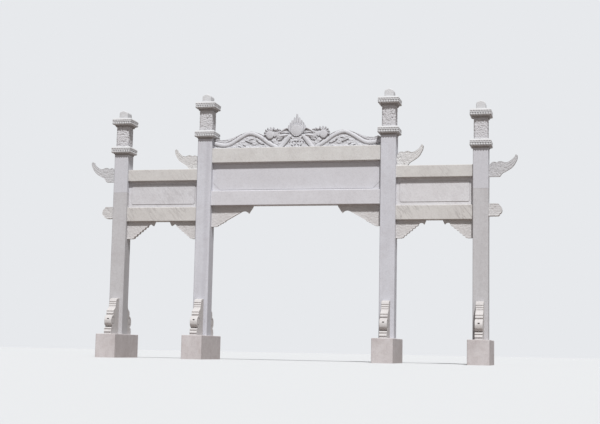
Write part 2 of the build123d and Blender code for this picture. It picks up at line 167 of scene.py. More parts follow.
def make_camera():
    """The camera at the photograph's place and angle."""
    ahead = Vector((-math.sin(CAMERA_YAW), math.cos(CAMERA_YAW), 0))
    side = Vector((math.cos(CAMERA_YAW), math.sin(CAMERA_YAW), 0))
    up = Vector((0, 0, 1))
    look = math.cos(CAMERA_PITCH) * ahead + math.sin(CAMERA_PITCH) * up
    over = -math.sin(CAMERA_PITCH) * ahead + math.cos(CAMERA_PITCH) * up
    right = math.cos(CAMERA_ROLL) * side + math.sin(CAMERA_ROLL) * over
    top = -math.sin(CAMERA_ROLL) * side + math.cos(CAMERA_ROLL) * over
    data = bpy.data.cameras.new("camera")
    data.sensor_width = SENSOR_WIDTH
    data.lens = FOCAL_PIXELS / PICTURE_WIDTH * SENSOR_WIDTH
    data.shift_x = (PICTURE_WIDTH / 2 - CENTRE_COLUMN) / PICTURE_WIDTH
    data.clip_end = FAR_LIMIT
    camera = bpy.data.objects.new("camera", data)
    scene.collection.objects.link(camera)
    turn = Matrix((right, top, -look)).transposed().to_4x4()
    camera.matrix_world = Matrix.Translation(CAMERA_PLACE) @ turn
    scene.camera = camera


def seen_mask(tree):
    """1 for what the camera, a gloss or a clear surface sees, 0 for light on the object."""
    path = tree.nodes.new("ShaderNodeLightPath")
    seen = path.outputs["Is Camera Ray"]
    for ray in ("Is Glossy Ray", "Is Transmission Ray"):
        seen = number(tree, "MAXIMUM", seen, path.outputs[ray])
    return seen


def make_light():
    """One large soft key from the front right and an even pale surrounding."""
    data = bpy.data.lights.new("key", "SUN")
    data.energy = KEY_STRENGTH
    data.angle = KEY_SOFTNESS
    key = bpy.data.objects.new("key", data)
    scene.collection.objects.link(key)
    key.rotation_mode = "QUATERNION"
    key.rotation_quaternion = KEY_DIRECTION.to_track_quat("-Z", "Y")
    world = bpy.data.worlds.new("world")
    scene.world = world
    world.use_nodes = True
    tree = world.node_tree
    tree.nodes.clear()
    output = tree.nodes.new("ShaderNodeOutputWorld")
    shown = tree.nodes.new("ShaderNodeBackground")
    shown.inputs["Color"].default_value = BACKGROUND_COLOUR
    shown.inputs["Strength"].default_value = 1.0
    lighting = tree.nodes.new("ShaderNodeBackground")
    lighting.inputs["Color"].default_value = SKY_COLOUR
    lighting.inputs["Strength"].default_value = SKY_STRENGTH
    choice = tree.nodes.new("ShaderNodeMixShader")
    tree.links.new(seen_mask(tree), choice.inputs["Fac"])
    tree.links.new(lighting.outputs[0], choice.inputs[1])
    tree.links.new(shown.outputs[0], choice.inputs[2])
    tree.links.new(choice.outputs[0], output.inputs["Surface"])


def make_floor():
    """A plain pale floor, which throws back a warm light."""
    bpy.ops.mesh.primitive_plane_add(size=FLOOR_SIZE, location=(0, 0, 0))
    floor = bpy.context.object
    floor.name = "floor"
    material = bpy.data.materials.new("floor_paint")
    material.use_nodes = True
    tree = material.node_tree
    shader = tree.nodes["Principled BSDF"]
    shader.inputs["Roughness"].default_value = FLOOR_ROUGHNESS
    colour = mix(tree, seen_mask(tree), FLOOR_BOUNCE, FLOOR_COLOUR)
    tree.links.new(colour, shader.inputs["Base Color"])
    floor.data.materials.append(material)


# Small helpers for the material nodes


def feed(tree, socket, value):
    """Link a value that is a socket, or set one that is a number or a colour."""
    if isinstance(value, bpy.types.NodeSocket):
        tree.links.new(value, socket)
    else:
        socket.default_value = value


def number(tree, operation, first, second=0.0):
    """One step of arithmetic on sockets or plain numbers."""
    step = tree.nodes.new("ShaderNodeMath")
    step.operation = operation
    feed(tree, step.inputs[0], first)
    feed(tree, step.inputs[1], second)
    return step.outputs[0]


def times(tree, first, second):
    """The product of two values."""
    return number(tree, "MULTIPLY", first, second)


def apart(tree, first, second):
    """How far one value is from another."""
    return number(tree, "ABSOLUTE", number(tree, "SUBTRACT", first, second))


def mix(tree, share, first, second):
    """A colour between two colours."""
    step = tree.nodes.new("ShaderNodeMix")
    step.data_type = "RGBA"
    factor, colour_a, colour_b = step.inputs[0], step.inputs[6], step.inputs[7]
    feed(tree, factor, share)
    feed(tree, colour_a, first)
    feed(tree, colour_b, second)
    return step.outputs[2]


def span(tree, value, low, high, new_low=0.0, new_high=1.0):
    """Stretch the part of a value between low and high over a new range, and clip it."""
    step = tree.nodes.new("ShaderNodeMapRange")
    feed(tree, step.inputs["Value"], value)
    bounds = {"From Min": low, "From Max": high, "To Min": new_low, "To Max": new_high}
    for name, bound in bounds.items():
        step.inputs[name].default_value = bound
    return step.outputs[0]


def placed(tree, shift, stretch=(1, 1, 1), tilt=0.0):
    """The place in the object, shifted, turned in the plane of the front, and stretched."""
    where = tree.nodes.new("ShaderNodeTexCoord")
    turn = tree.nodes.new("ShaderNodeMapping")
    turn.inputs["Location"].default_value = (shift, 0.7 * shift, -0.4 * shift)
    turn.inputs["Rotation"].default_value = (0, tilt, 0)
    tree.links.new(where.outputs["Object"], turn.inputs["Vector"])
    scaled = tree.nodes.new("ShaderNodeVectorMath")
    scaled.operation = "MULTIPLY"
    scaled.inputs[1].default_value = stretch
    tree.links.new(turn.outputs[0], scaled.inputs[0])
    return scaled.outputs[0]


def axis(tree, name):
    """One coordinate of the place in the object."""
    where = tree.nodes.new("ShaderNodeTexCoord")
    parts = tree.nodes.new("ShaderNodeSeparateXYZ")
    tree.links.new(where.outputs["Object"], parts.inputs[0])
    return parts.outputs[name]


def noise(tree, place, scale, detail=2.0, rough=0.5, warp=0.0):
    """Soft noise from 0 to 1. The scale is in waves a metre."""
    step = tree.nodes.new("ShaderNodeTexNoise")
    tree.links.new(place, step.inputs["Vector"])
    settings = {"Scale": scale, "Detail": detail, "Roughness": rough, "Distortion": warp}
    for name, value in settings.items():
        step.inputs[name].default_value = value
    return step.outputs["Fac"]


def dimmed(tree, colour, mask, tone):
    """The colour, drawn toward a multiple of itself where the mask is 1."""
    darker = tree.nodes.new("ShaderNodeMix")
    darker.data_type = "RGBA"
    darker.blend_type = "MULTIPLY"
    feed(tree, darker.inputs[0], mask)
    feed(tree, darker.inputs[6], colour)
    feed(tree, darker.inputs[7], tone)
    return darker.outputs[2]


# Tones that a mark multiplies into the tint of a stone
CLOUD_TONE = (0.87, 0.855, 0.85, 1)
BLOTCH_TONE = (0.88, 0.86, 0.855, 1)
VEIN_TONE = (0.70, 0.685, 0.69, 1)
STREAK_TONE = (0.86, 0.85, 0.85, 1)
STAIN_TONE = (0.91, 0.905, 0.91, 1)
SEAM_TONE = (0.74, 0.72, 0.71, 1)
SPECKLE_TONE = (0.72, 0.71, 0.71, 1)
MOTTLE_TONE = (0.86, 0.86, 0.86, 1)
# Painted shade on faces that look up
TOP_SHADE_TONE = (0.85, 0.84, 0.83, 1)
# Dirt and painted shade in hollows
DIRT_AND_SHADE_TONE = (0.50, 0.48, 0.47, 1)
# Painted shade in corners
CORNER_SHADE_TONE = (0.55, 0.53, 0.51, 1)
BRIGHT_GRAIN = (0.85, 0.85, 0.86, 1)

# Noise of the marks: waves a metre, detail, roughness and warp
CLOUD_NOISE = (1.1, 3.0, 0.6, 0.4)
BLOTCH_NOISE = (6.0, 4.0, 0.65, 0.2)
VEIN_NOISE = (2.6, 3.0, 0.55, 0.5)
PATCH_NOISE = (1.3, 1.0)
STREAK_NOISE = (1.0, 3.0, 0.6)
STAIN_NOISE = (1.6, 2.0)
MOTTLE_NOISE = (24.0, 2.0, 0.7)
SPECKLE_NOISE = (75.0, 2.0, 0.7)
PIT_NOISE = (130.0, 3.0, 0.7)
WAVE_NOISE = (22.0, 3.0, 0.6)
GLOSS_NOISE = (9.0, 3.0)

# Where a mark begins and where it is full, as values of its noise, of the way that a face
# looks up, or of how open a corner is
CLOUD_SPAN = (0.38, 0.66)
BLOTCH_SPAN = (0.45, 0.72)
PATCH_SPAN = (0.42, 0.60)
STREAK_SPAN = (0.48, 0.74)
# Painted shade on faces that look up
TOP_SHADE_SPAN = (0.25, 0.75)
MOTTLE_SPAN = (0.48, 0.66)
DARK_SPAN = (0.56, 0.68)
BRIGHT_SPAN = (0.44, 0.34)
# Painted shade in corners: how open a corner is
CORNER_SPAN = (0.55, 0.97)
GLOSS_SPAN = (0.3, 0.7)

# Shapes and shares of the marks
VEIN_TILT = math.radians(-52)
VEIN_WIDTH = 0.045
VEIN_STRETCH = (0.55, 0.55, 3.4)
STREAK_STRETCH = (7.0, 7.0, 0.35)
STAIN_STRETCH = (1, 1, 0.5)
STAIN_EDGES = (0.5, 1.3)
BRIGHT_SHARE = 0.30
CORNER_REACH = 0.045
CORNER_RAYS = 6
PIT_SHARE = 0.35
STONE_GLOSS = 0.25

# Hollow mark of a face that gets no painted shade on its top
NO_TOP_SHADE = -1.0


def stone(
    name, tint, seed, cloud=0.5, veins=0.0, streaks=0.0, stain=None, seam=None,
    speckle=0.5, grain=0.5, corners=0.0, carved=0.0,
):
    """Pale stone with clouds, veins, streaks, speckles, tooled grain, dirt and painted shade in its
    hollows, and painted shade in its corners and on its tops.

    Each of the amounts runs from 0 to 1. A stain is a broad upright band: its place across and
    half its width. A seam is the height of a joint and how much of the paler stone is above it.
    """
    material = bpy.data.materials.new(name)
    material.use_nodes = True
    tree = material.node_tree
    shader = tree.nodes["Principled BSDF"]
    place = placed(tree, seed)
    colour = (*tint, 1)

    # Broad clouds and smaller blotches
    broad = span(tree, noise(tree, place, *CLOUD_NOISE), *CLOUD_SPAN)
    colour = dimmed(tree, colour, times(tree, broad, cloud), CLOUD_TONE)
    blotch = span(tree, noise(tree, placed(tree, seed + 9), *BLOTCH_NOISE), *BLOTCH_SPAN)
    colour = dimmed(tree, colour, times(tree, blotch, cloud), BLOTCH_TONE)

    # Thin dark veins that run down to the right
    if veins:
        along = placed(tree, seed + 3, VEIN_STRETCH, VEIN_TILT)
        line = apart(tree, noise(tree, along, *VEIN_NOISE), 0.5)
        thin = span(tree, line, 0.0, VEIN_WIDTH, 1.0, 0.0)
        patch = span(tree, noise(tree, placed(tree, seed + 5), *PATCH_NOISE), *PATCH_SPAN)
        vein = times(tree, times(tree, thin, patch), veins)
        colour = dimmed(tree, colour, vein, VEIN_TONE)

    # Faint upright streaks from rain
    if streaks:
        upright = placed(tree, seed + 7, STREAK_STRETCH)
        run = span(tree, noise(tree, upright, *STREAK_NOISE), *STREAK_SPAN)
        colour = dimmed(tree, colour, times(tree, run, streaks), STREAK_TONE)

    # A broad upright stain with an uneven edge
    if stain:
        middle, half = stain
        uneven = noise(tree, placed(tree, seed + 8, STAIN_STRETCH), *STAIN_NOISE)
        sway = span(tree, uneven, 0.0, 1.0, -half, half)
        across = number(tree, "ADD", axis(tree, "X"), sway)
        inner_edge, outer_edge = STAIN_EDGES
        distance = apart(tree, across, middle)
        band = span(tree, distance, inner_edge * half, outer_edge * half, 1.0, 0.0)
        colour = dimmed(tree, colour, band, STAIN_TONE)

    # The seam between two stones of one column, and the paler stone above it
    if seam:
        joint, paler = seam
        height = axis(tree, "Z")
        above = span(tree, height, joint, joint + SEAM_WIDTH, 0.0, paler)
        colour = mix(tree, above, colour, (*UPPER_STONE, 1))
        line = span(tree, apart(tree, height, joint), 0.5 * SEAM_WIDTH, SEAM_WIDTH, 1.0, 0.0)
        colour = dimmed(tree, colour, line, SEAM_TONE)

    # Painted shade on whatever faces the sky, none on the faces of a carved piece that are marked to
    # keep their tops lit
    faces_up = tree.nodes.new("ShaderNodeSeparateXYZ")
    surface = tree.nodes.new("ShaderNodeNewGeometry")
    tree.links.new(surface.outputs["Normal"], faces_up.inputs[0])
    top_shade = span(tree, faces_up.outputs["Z"], *TOP_SHADE_SPAN)
    if carved:
        recess = tree.nodes.new("ShaderNodeAttribute")
        recess.attribute_name = "recess"
        top_shade = times(tree, top_shade, span(tree, recess.outputs["Fac"], NO_TOP_SHADE, 0.0))
    colour = dimmed(tree, colour, top_shade, TOP_SHADE_TONE)

    # Mineral mottle and speckles, dark and bright
    mottle = span(tree, noise(tree, placed(tree, seed + 13), *MOTTLE_NOISE), *MOTTLE_SPAN)
    colour = dimmed(tree, colour, times(tree, mottle, speckle), MOTTLE_TONE)
    fine = noise(tree, place, *SPECKLE_NOISE)
    dark = times(tree, span(tree, fine, *DARK_SPAN), speckle)
    colour = dimmed(tree, colour, dark, SPECKLE_TONE)
    bright = times(tree, span(tree, fine, *BRIGHT_SPAN), BRIGHT_SHARE * speckle)
    colour = mix(tree, bright, colour, BRIGHT_GRAIN)

    # Painted shade in the corners between two faces, from an occlusion node
    corner = tree.nodes.new("ShaderNodeAmbientOcclusion")
    corner.samples = CORNER_RAYS
    corner.only_local = True
    corner.inputs["Distance"].default_value = CORNER_REACH
    shut = span(tree, corner.outputs["AO"], *CORNER_SPAN, 1.0, 0.0)
    colour = dimmed(tree, colour, times(tree, shut, corners), CORNER_SHADE_TONE)

    # Dirt and painted shade in the hollows of the carving
    if carved:
        dirt_and_shade = times(tree, span(tree, recess.outputs["Fac"], 0.0, 1.0), carved)
        colour = dimmed(tree, colour, dirt_and_shade, DIRT_AND_SHADE_TONE)
    tree.links.new(colour, shader.inputs["Base Color"])

    # Tooled surface: fine pits on soft waves. Coarser grain is deeper and duller
    pits = noise(tree, place, *PIT_NOISE)
    waves = noise(tree, placed(tree, seed + 11), *WAVE_NOISE)
    height = number(tree, "ADD", times(tree, pits, PIT_SHARE), waves)
    bump = tree.nodes.new("ShaderNodeBump")
    bump.inputs["Strength"].default_value = 0.35 + 0.5 * grain
    bump.inputs["Distance"].default_value = 0.004 + 0.010 * grain
    tree.links.new(height, bump.inputs["Height"])
    tree.links.new(bump.outputs[0], shader.inputs["Normal"])
    least, most = 0.58 + 0.2 * grain, 0.72 + 0.2 * grain
    rough = span(tree, noise(tree, place, *GLOSS_NOISE), *GLOSS_SPAN, least, most)
    tree.links.new(rough, shader.inputs["Roughness"])
    shader.inputs["Specular IOR Level"].default_value = STONE_GLOSS
    return material


# Seam of the outer columns, metres, with the linear tint above it and how much of it shows
COLUMN_SEAM = 5.0
SEAM_WIDTH = 0.005
UPPER_STONE = (0.546, 0.549, 0.592)
UPPER_SHARE = 0.75

# Stain of an inner column, metres: its place across and half its width
STAIN_PLACE = (-2.70, 0.070)


def make_stones():
    """One stone for each kind of piece."""
    column = {"cloud": 0.5, "streaks": 0.3, "grain": 0.2}
    joined = {"seam": (COLUMN_SEAM, UPPER_SHARE), **column}
    base = {"cloud": 1.0, "streaks": 0.15, "speckle": 0.6, "grain": 0.3}
    beam = {"cloud": 0.5, "grain": 0.15}
    cool = {"cloud": 0.35, "grain": 0.15}
    panel = {"corners": 0.9, "grain": 0.1}
    end = {"cloud": 0.4, "speckle": 0.8, "grain": 0.6, "carved": 0.5}
    ear = {"speckle": 0.7, "grain": 0.9, "carved": 0.6}
    outer = (0.500, 0.495, 0.510)
    inner = (0.572, 0.578, 0.624)
    return {
        "column_outer_left": stone("joined_stone_left", outer, 2, **joined),
        "column_inner_left": stone("stained_stone", inner, 1, stain=STAIN_PLACE, **column),
        "column_inner_right": stone("column_stone", inner, 21, **column),
        "column_outer_right": stone("joined_stone_right", outer, 22, **joined),
        "base": stone("base_stone", (0.575, 0.545, 0.552), 3, **base),
        "beam_warm": stone("warm_beam_stone", (0.605, 0.597, 0.588), 4, veins=0.25, **beam),
        "beam_cool": stone("cool_beam_stone", (0.600, 0.596, 0.628), 5, veins=0.15, **cool),
        "beam_faint": stone("faint_beam_stone", (0.585, 0.573, 0.560), 16, veins=0.5, **beam),
        "beam_veined": stone("veined_beam_stone", (0.580, 0.566, 0.552), 6, veins=0.9, **beam),
        "panel_middle": stone("middle_panel_stone", (0.578, 0.575, 0.610), 7, cloud=0.3, **panel),
        "panel_left": stone(
            "left_panel_stone", (0.600, 0.597, 0.622), 8, cloud=0.6, veins=0.45, **panel
        ),
        "panel_right": stone(
            "right_panel_stone", (0.635, 0.630, 0.650), 18, cloud=0.5, veins=0.35, **panel
        ),
        "collar": stone("collar_stone", (0.575, 0.580, 0.595), 9, cloud=0.4, grain=0.6, carved=1.0),
        "block": stone("block_stone", (0.570, 0.567, 0.590), 10, cloud=0.3, grain=0.8, carved=0.7),
        "scroll": stone("scroll_stone", (0.575, 0.558, 0.555), 11, cloud=0.5, grain=0.6, carved=0.8),
        "bracket": stone("bracket_stone", (0.585, 0.573, 0.575), 12, cloud=0.4, grain=0.6, carved=0.6),
        "end": stone("beam_end_stone", (0.610, 0.605, 0.610), 15, **end),
        "ear_inner": stone("inner_ear_stone", (0.635, 0.634, 0.636), 13, **ear),
        "ear_outer": stone("outer_ear_stone", (0.528, 0.530, 0.548), 19, **ear),
        "crest": stone("crest_stone", (0.575, 0.580, 0.612), 14, cloud=0.35, grain=0.5, carved=0.6),
    }


# Meshes. A shape is its points, its four-sided faces and the hollow mark of every point


def join(shapes):
    """Several shapes that don't touch, as one."""
    points, faces, hollows, first = [], [], [], 0
    for shape_points, shape_faces, shape_hollows in shapes:
        points.append(shape_points)
        faces.append(shape_faces + first)
        hollows.append(shape_hollows)
        first += len(shape_points)
    return np.concatenate(points), np.concatenate(faces), np.concatenate(hollows)


def add_piece(name, shape, material, node):
    """One carved piece in place of the CAD node that it stands for."""
    points, faces, hollows = shape
    data = bpy.data.meshes.new(name)
    data.from_pydata(points.tolist(), [], faces.tolist())
    marks = data.attributes.new("recess", "FLOAT", "POINT")
    marks.data.foreach_set("value", hollows.astype(np.float32))
    data.shade_smooth()
    data.set_sharp_from_angle(angle=SHARP_ANGLE)
    data.materials.append(stones[material])
    piece = bpy.data.objects.new(name, data)
    scene.collection.objects.link(piece)
    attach(piece, "root")
    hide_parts(node)


def skin(rows, columns, closed=False):
    """Faces of a grid of points, its columns joined into rings where it is closed."""
    index = np.arange(rows * columns).reshape(rows, columns)
    after = np.roll(index, -1, axis=1) if closed else index[:, 1:]
    here = index if closed else index[:, :-1]
    return np.stack((here[:-1], after[:-1], after[1:], here[1:]), -1).reshape(-1, 4)


def curl_field(across, up, curls, turns):
    """Overlapping scrolls, 0 in the gaps to 1 on the rolls. A curl is across, up, radius, hand."""
    field = np.zeros_like(across)
    for x, z, radius, hand in curls:
        reach = np.hypot(across - x, up - z) / radius
        near = reach < 1
        turn = np.arctan2(up[near] - z, hand * (across[near] - x))
        roll = 0.5 + 0.5 * np.cos(2 * math.pi * turns * reach[near] - turn)
        height = (1 - reach[near] ** 2) ** ROLL_POWER * (1 - ROLL_SHARE + ROLL_SHARE * roll)
        field[near] = np.maximum(field[near], height)
    return field


def scatter(low, high, radius, seed):
    """Curls in staggered, uneven rows over a field."""
    chance = np.random.default_rng(seed)
    pitch = CURL_PITCH * radius
    curls = []
    for row, z in enumerate(np.arange(low[1], high[1] + pitch, pitch)):
        for x in np.arange(low[0] + 0.5 * pitch * (row % 2), high[0] + pitch, pitch):
            shift = chance.uniform(-CURL_SHIFT, CURL_SHIFT, 2) * radius
            size = radius * chance.uniform(*CURL_SIZES)
            curls.append((x + shift[0], z + shift[1], size, chance.choice((-1, 1))))
    return curls


def smooth_line(points, steps=10):
    """A smooth line through a few points."""
    given = np.asarray(points, float)
    padded = np.vstack((2 * given[0] - given[1], given, 2 * given[-1] - given[-2]))
    share = np.linspace(0, 1, steps, endpoint=False)[:, None]
    parts = []
    for a, b, c, d in zip(padded, padded[1:], padded[2:], padded[3:]):
        curve = (2 * a - 5 * b + 4 * c - d) * share**2 + (3 * b - a - 3 * c + d) * share**3
        parts.append(0.5 * (2 * b + (c - a) * share + curve))
    return np.vstack(parts + [given[-1:]])


def distance_to(line, x, z):
    """Distance of every point from a line, and how far along the line its nearest place is."""
    best = np.full(x.shape, np.inf)
    place = np.zeros(x.shape)
    start = 0.0
    for (ax, az), (bx, bz) in zip(line[:-1], line[1:]):
        run_x, run_z = bx - ax, bz - az
        length = math.hypot(run_x, run_z)
        share = np.clip(((x - ax) * run_x + (z - az) * run_z) / length**2, 0, 1)
        gap = np.hypot(x - ax - share * run_x, z - az - share * run_z)
        closer = gap < best
        best = np.where(closer, gap, best)
        place = np.where(closer, start + share * length, place)
        start += length
    return best, place


def ridge(x, z, line, radius):
    """A rounded ridge along a line: 1 on it, 0 a radius away."""
    gap, _ = distance_to(line, x, z)
    return np.sqrt(np.clip(1 - (gap / radius) ** 2, 0, 1))


def dome(x, z, centre, radii):
    """A round rise: 1 in the middle, 0 on the edge of an ellipse."""
    reach = ((x - centre[0]) / radii[0]) ** 2 + ((z - centre[1]) / radii[1]) ** 2
    return np.sqrt(np.clip(1 - reach, 0, 1))


def dirt_and_shade_below(relief, most, fall):
    """Hollow mark of a carved face, which darkens it as dirt and painted shade: most where the relief is
    0, less by fall times the relief.
    """
    return np.clip(most - fall * relief, 0, 1)


def raised(depth, part, foot, rise):
    """The depth with a part over it that stands on a foot and rises where the part is full."""
    return np.maximum(depth, np.where(part > 0, foot + rise * part, 0))


def groove(reach, middle, half_width):
    """A soft groove round a ball: 1 where the reach is at its middle, 0 half a width away."""
    return np.clip(1 - np.abs(reach - middle) / half_width, 0, 1)


# Collars, caps and cloud blocks


def collar_shape(centre, face, foot):
    """A square moulding with mitred corners, a row of beads and a row of dents above it."""
    front = face + COLLAR_OVERHANG
    inner = front - COLLAR_RECESS
    band = front - COLLAR_BAND_SETBACK
    quarter = np.linspace(0, math.pi / 2, 6)
    cove_out = face + (inner - face) * (1 - np.cos(quarter))
    cove_up = COVE_TOP * np.sin(quarter)
    bead_up = np.linspace(COVE_TOP, BEAD_TOP, 10)[1:]
    cell_low, cell_high = CELL_FOOT + 2 * CELL_SLOPE, CELL_TOP - CELL_SLOPE
    band_up = np.concatenate(
        (
            np.linspace(BAND_FOOT, cell_low, 3)[:-1],
            np.linspace(cell_low, cell_high, 3),
            [CELL_TOP, CELL_TOP + CELL_SLOPE, BAND_TOP],
        )
    )
    up = np.concatenate(([0], cove_up, bead_up, [BAND_FOOT], band_up, [COLLAR_TOP, COLLAR_TOP]))
    bead_out = np.full(len(bead_up) + 1, inner)
    band_out = np.full(len(band_up), band)
    out = np.concatenate(([0], cove_out, bead_out, band_out, [band - COLLAR_BEVEL_RUN, 0]))
    steps = BEADS_PER_SIDE * STEPS_PER_BEAD
    along = np.linspace(-1, 1, steps, endpoint=False)
    share = ((along + 1) / 2 * BEADS_PER_SIDE) % 1 - 0.5
    share, height = np.meshgrid(share, up, indexing="ij")
    bead_middle, bead_half = (COVE_TOP + BEAD_TOP) / 2, (BEAD_TOP - COVE_TOP) / 2
    bead = dome(share, height, (0, bead_middle), (BEAD_SHARE, bead_half)) ** BEAD_POWER
    cell = np.clip((CELL_SHARE - np.abs(share)) / CELL_EDGE, 0, 1) * (height < BAND_TOP)
    cell = cell * np.clip((height - CELL_FOOT) / CELL_SLOPE, 0, 1)
    cell = cell * np.clip((CELL_TOP + CELL_SLOPE - height) / CELL_SLOPE, 0, 1)
    reach = out + COLLAR_RECESS * bead - CELL_DEPTH * cell
    in_beads = (height > COVE_TOP) & (height < BEAD_TOP)
    # Dirt and painted shade in the cells and between the beads
    hollow = CELL_DIRT_AND_SHADE * cell + np.where(in_beads, BEAD_DIRT_AND_SHADE * (1 - bead) ** 2, 0)
    # Painted shade in the cove under the beads
    hollow = np.where(height < COVE_SHADE_TOP, COVE_SHADE, hollow)
    x, y = along[:, None] * reach, -reach
    sides = []
    for side in range(4):
        turn = side * math.pi / 2
        out_x = centre[0] + x * math.cos(turn) - y * math.sin(turn)
        out_y = centre[1] + x * math.sin(turn) + y * math.cos(turn)
        sides.append(np.stack((out_x, out_y, foot + height), -1))
    ring = np.concatenate(sides).transpose(1, 0, 2)
    hollows = np.concatenate([hollow] * 4).transpose(1, 0)
    faces = skin(ring.shape[0], ring.shape[1], closed=True)
    return ring.reshape(-1, 3), faces, hollows.reshape(-1)


def finial_shape(centre, foot):
    """The block on a cap: one outline with rounded shoulders, drawn in at both ends."""
    half = FINIAL_WIDTH / 2
    corner = np.linspace(0, math.pi / 2, 8)
    shoulder_x = half - FINIAL_SHOULDER + FINIAL_SHOULDER * np.cos(corner)
    shoulder_z = FINIAL_HEIGHT - FINIAL_CROWN - FINIAL_SHOULDER + FINIAL_SHOULDER * np.sin(corner)
    crown_x = np.linspace(shoulder_x[-1], 0, 4)[1:]
    crown_z = FINIAL_HEIGHT - FINIAL_CROWN * (crown_x / shoulder_x[-1]) ** 2
    right_x = np.concatenate(([half, half], shoulder_x, crown_x))
    right_z = np.concatenate(([0, 0.5 * shoulder_z[0]], shoulder_z, crown_z))
    x = np.concatenate((right_x, -right_x[-2::-1]))
    z = np.concatenate((right_z, right_z[-2::-1]))
    edge = np.linspace(0, math.pi / 2, 6)
    inset = np.concatenate(([half], FINIAL_EDGE * (1 - np.sin(edge))))
    place = -FINIAL_LENGTH / 2 + np.concatenate(([0], FINIAL_EDGE * (1 - np.cos(edge))))
    inset = np.concatenate((inset, inset[::-1]))
    place = np.concatenate((place, -place[::-1]))
    size = (1 - inset / half)[:, None]
    points = np.stack(
        (
            centre[0] + x * size,
            centre[1] + np.repeat(place[:, None], len(x), 1),
            foot + z * size,
        ),
        -1,
    )
    faces = skin(len(place), len(x), closed=True)[:, ::-1]
    # The finial gets no painted shade on its tops
    return points.reshape(-1, 3), faces, np.full(points.shape[0] * points.shape[1], NO_TOP_SHADE)


def block_shape(centre, foot, side, height, seed):
    """A block with rounded corners, carved all round with cloud scrolls."""
    flat = side - 2 * BLOCK_ROUND
    quarter = flat + BLOCK_ROUND * math.pi / 2
    count = 4 * round(quarter / BLOCK_CELL)
    along = np.linspace(0, 4 * quarter, count, endpoint=False)
    turn = (along // quarter) * math.pi / 2
    local = along % quarter
    corner = np.clip((local - flat) / BLOCK_ROUND, 0, None)
    out_x, out_y = np.sin(corner), -np.cos(corner)
    edge_x = np.minimum(local, flat) - flat / 2 + BLOCK_ROUND * out_x
    edge_y = -flat / 2 + BLOCK_ROUND * out_y
    around = 4 * quarter
    up = np.linspace(0, height, round(height / BLOCK_CELL))
    across_grid, up_grid = np.meshgrid(along, up)
    relief = np.zeros_like(across_grid)
    for radius, turns, share in BLOCK_CURLS:
        curls = scatter((0, 0), (around - radius, height), radius, seed)
        curls += [(x - around, z, r, hand) for x, z, r, hand in curls if x > around - 2 * r]
        curls += [(x + around, z, r, hand) for x, z, r, hand in curls if 0 <= x < 2 * r]
        relief += share * curl_field(across_grid, up_grid, curls, turns)
    depth = BLOCK_CARVING * (1 - relief)
    x, y = edge_x - depth * out_x, edge_y - depth * out_y
    points = np.stack(
        (
            centre[0] + x * np.cos(turn) - y * np.sin(turn),
            centre[1] + x * np.sin(turn) + y * np.cos(turn),
            foot + up_grid,
        ),
        -1,
    )
    ends = [np.tile((*centre, z), (1, count, 1)) for z in (foot, foot + height)]
    points = np.concatenate((ends[0], points, ends[1]))
    # Dirt and painted shade in the low parts of the relief
    hollow = np.pad(dirt_and_shade_below(relief, *BLOCK_DIRT_AND_SHADE), ((1, 1), (0, 0)))
    faces = skin(len(up) + 2, count, closed=True)
    return points.reshape(-1, 3), faces, hollow.reshape(-1)


def dress_heads():
    """Collars, cloud blocks and caps of the four columns."""
    for index, place in enumerate(PLACES):
        node = f"collar_{place}"
        low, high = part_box(node)
        centre = ((low.x + high.x) / 2, (low.y + high.y) / 2)
        face = (high.x - low.x) / 2 - COLLAR_OVERHANG
        collar = collar_shape(centre, face, low.z)
        add_piece(f"carved_collar_{place}", collar, "collar", node)
        node = f"cloud_block_{place}"
        low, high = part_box(node)
        block = block_shape(centre, low.z, high.x - low.x, high.z - low.z, BLOCK_SEED + index)
        add_piece(f"carved_block_{place}", block, "block", node)
        node = f"cap_{place}"
        low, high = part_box(node)
        cap = join([collar_shape(centre, face, low.z), finial_shape(centre, low.z + COLLAR_TOP)])
        add_piece(f"carved_cap_{place}", cap, "collar", node)


